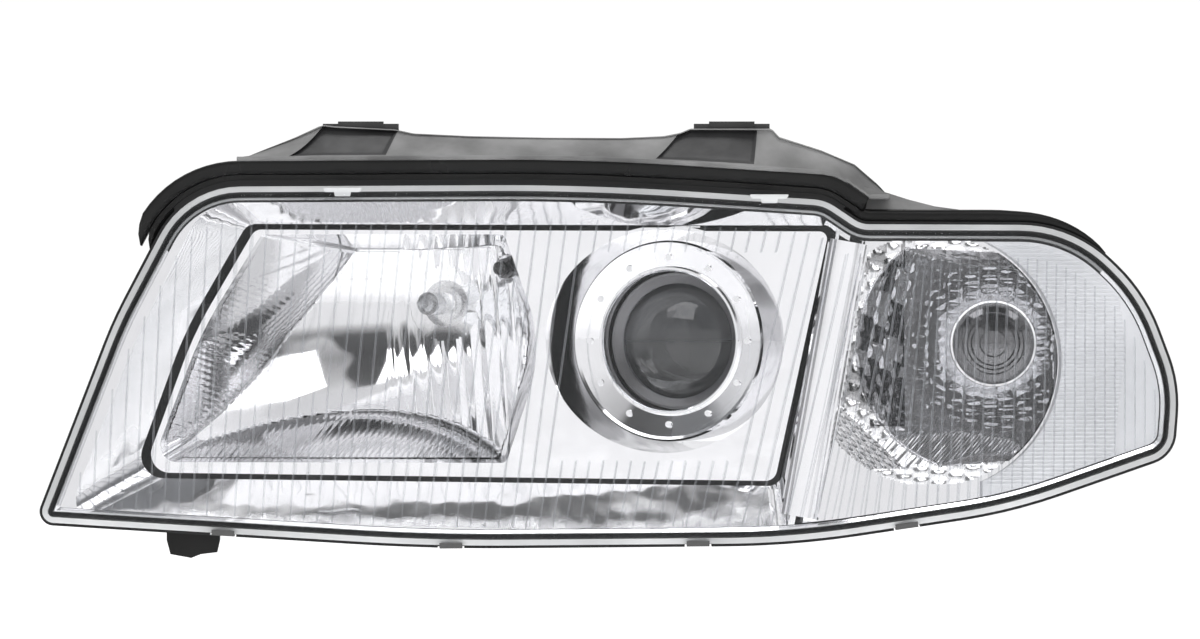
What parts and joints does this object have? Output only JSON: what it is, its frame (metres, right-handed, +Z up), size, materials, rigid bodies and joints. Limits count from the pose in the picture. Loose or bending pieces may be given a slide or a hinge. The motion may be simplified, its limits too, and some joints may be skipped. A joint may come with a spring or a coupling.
{
  "type": "car headlight assembly",
  "caption": "Left-hand car headlight: black housing, clear swept lens, chrome main-beam reflector, ringed projector, corner indicator, rubber seals, aiming gear.",
  "frame": {"origin": "midway between the two upper mounting holes, on the top of their plates", "axes": "+X outboard (the car's left), -Y towards the road (the lit face), +Z up"},
  "size_m": [0.6013, 0.2195, 0.2303],
  "materials": {
    "clear_lens": "clear moulded polycarbonate",
    "lens_sealant": "matt butyl",
    "housing_plastic": "fine-grained black polypropylene",
    "bezel_chrome": "vacuum-metallised plastic",
    "divider_chrome": "vacuum-metallised plastic",
    "turn_chrome": "vacuum-metallised plastic with pillow facets",
    "optic_glass": "clear ringed plastic",
    "diffuser_clear": "clear ribbed plastic",
    "panel_chrome": "vacuum-metallised plastic",
    "reflector_chrome": "vacuum-metallised plastic",
    "cup_chrome": "vacuum-metallised plastic",
    "carriage_plastic": "glass-filled nylon",
    "stud_steel": "zinc plated",
    "bush_nylon": "natural nylon",
    "rod_steel": "zinc plated",
    "motor_plastic": "black moulded plastic",
    "knob_nylon": "natural nylon",
    "ring_chrome": "vacuum-metallised plastic",
    "rivet_chrome": "polished",
    "projector_glass": "clear pressed glass",
    "retainer_steel": "dark satin",
    "holder_metal": "die-cast",
    "shutter_steel": "blackened",
    "ellipse_metal": "die-cast, bright inside",
    "screw_zinc": "zinc plated",
    "bulb_glass": "clear quartz",
    "bulb_metal": "plated",
    "plug_plastic": "black nylon",
    "spring_wire": "spring wire",
    "ear_metal": "zinc plated",
    "holder_plastic": "grey nylon",
    "silvered_glass": "silver-coated glass",
    "cover_plastic": "black polypropylene",
    "cover_rubber": "matt rubber",
    "connector_plastic": "black nylon",
    "pin_metal": "tinned brass",
    "vent_rubber": "matt rubber",
    "bracket_steel": "black e-coat",
    "nut_steel": "phosphated spring steel",
    "clip_steel": "spring steel",
    "foot_rubber": "matt rubber",
    "apron_rubber": "aged rubber",
    "seal_rubber": "satin rubber"
  },
  "bodies": {
    "housing": {"front_lens": "clear_lens", "lens_seal": "lens_sealant", "housing": "housing_plastic", "inner_bezel": "bezel_chrome", "divider_trim": "divider_chrome", "turn_reflector": "turn_chrome", "turn_optic": "optic_glass", "side_diffuser": "diffuser_clear", "pivot_stud": "stud_steel", "levelling_motor": "motor_plastic", "horizontal_adjuster_case": "motor_plastic", "main_cover_seal": "cover_rubber", "low_cover_seal": "cover_rubber", "main_connector": "connector_plastic", "connector_pins": "pin_metal", "vent_caps": "vent_rubber", "inboard_bracket": "bracket_steel", "outboard_bracket": "bracket_steel", "bracket_screws": "screw_zinc", "speed_nuts": "nut_steel", "lens_clips": "clip_steel", "lower_foot": "foot_rubber", "hood_apron": "apron_rubber", "hood_seal": "seal_rubber", "turn_seal": "seal_rubber"},
    "swivel": {"pivot_bush": "bush_nylon"},
    "carriage": {"carriage_frame": "carriage_plastic", "reflector_panel": "panel_chrome", "main_reflector": "reflector_chrome", "main_bulb_glass": "bulb_glass", "main_bulb_base": "bulb_metal", "main_bulb_plug": "plug_plastic", "main_clip_ears": "ear_metal", "parking_bulb": "bulb_glass", "parking_holder": "holder_plastic", "projector_cup": "cup_chrome", "trim_ring": "ring_chrome", "ring_rivets": "rivet_chrome", "projector_lens": "projector_glass", "lens_retainer": "retainer_steel", "lens_holder": "holder_metal", "beam_shutter": "shutter_steel", "projector_reflector": "ellipse_metal", "projector_screws": "screw_zinc", "low_bulb_glass": "bulb_glass", "low_bulb_base": "bulb_metal", "low_bulb_plug": "plug_plastic", "low_clip_ears": "ear_metal"},
    "vertical_rod": {"vertical_adjuster_rod": "rod_steel"},
    "horizontal_rod": {"horizontal_adjuster_rod": "rod_steel"},
    "vertical_knob": {"vertical_adjuster_knob": "knob_nylon"},
    "horizontal_knob": {"horizontal_adjuster_knob": "knob_nylon"},
    "main_clip": {"main_bulb_clip": "spring_wire"},
    "low_clip": {"low_bulb_clip": "spring_wire"},
    "main_rear_cover": {"main_cover": "cover_plastic"},
    "low_rear_cover": {"low_cover": "cover_plastic"},
    "turn_lamp": {"turn_bulb_holder": "holder_plastic", "turn_bulb_glass": "silvered_glass", "turn_bulb_base": "bulb_metal"}
  },
  "joints": [
    {"name": "aim_horizontal", "type": "hinge", "parent": "housing", "child": "swivel", "pos_m": [0.024, -0.002, -0.184], "axis": [0, 0, 1], "range_deg": [-2.5, 2.5]},
    {"name": "aim_vertical", "type": "hinge", "parent": "swivel", "child": "carriage", "pos_m": [0.024, -0.002, -0.184], "axis": [1, 0, 0], "range_deg": [-2.5, 2.5]},
    {"name": "vertical_rod_slide", "type": "slide", "parent": "housing", "child": "vertical_rod", "axis": [0, 1, 0], "range_m": [-0.0055, 0.0055]},
    {"name": "horizontal_rod_slide", "type": "slide", "parent": "housing", "child": "horizontal_rod", "axis": [0, 1, 0], "range_m": [-0.0095, 0.0095]},
    {"name": "vertical_knob_turn", "type": "hinge", "parent": "housing", "child": "vertical_knob", "pos_m": [0.024, 0.096, -0.062], "axis": [0, 1, 0], "range_deg": [-330, 330]},
    {"name": "horizontal_knob_turn", "type": "hinge", "parent": "housing", "child": "horizontal_knob", "pos_m": [-0.188, 0.092, -0.184], "axis": [0, 1, 0], "range_deg": [-570, 570]},
    {"name": "main_clip_swing", "type": "hinge", "parent": "carriage", "child": "main_clip", "pos_m": [-0.04975, 0.04393, -0.1114], "axis": [-0.9397, 0.342, 0], "range_deg": [0, 75]},
    {"name": "low_clip_swing", "type": "hinge", "parent": "carriage", "child": "low_clip", "pos_m": [0.10214, 0.07278, -0.1311], "axis": [-0.9397, 0.342, 0], "range_deg": [0, 75]},
    {"name": "main_cover_pull", "type": "slide", "parent": "housing", "child": "main_rear_cover", "axis": [0.342, 0.9397, 0], "range_m": [0, 0.06]},
    {"name": "low_cover_pull", "type": "slide", "parent": "housing", "child": "low_rear_cover", "axis": [0.342, 0.9397, 0], "range_m": [0, 0.06]},
    {"name": "turn_lamp_twist", "type": "hinge", "parent": "housing", "child": "turn_lamp", "pos_m": [0.236, 0.042, -0.116], "axis": [0, 1, 0], "range_deg": [0, 40]}
  ],
  "couplings": [
    {"joint": "vertical_rod_slide", "follows": "aim_vertical", "m_per_rad": -0.122},
    {"joint": "horizontal_rod_slide", "follows": "aim_horizontal", "m_per_rad": -0.212},
    {"joint": "vertical_knob_turn", "follows": "aim_vertical", "ratio": 127.76},
    {"joint": "horizontal_knob_turn", "follows": "aim_horizontal", "ratio": 222.01}
  ]
}
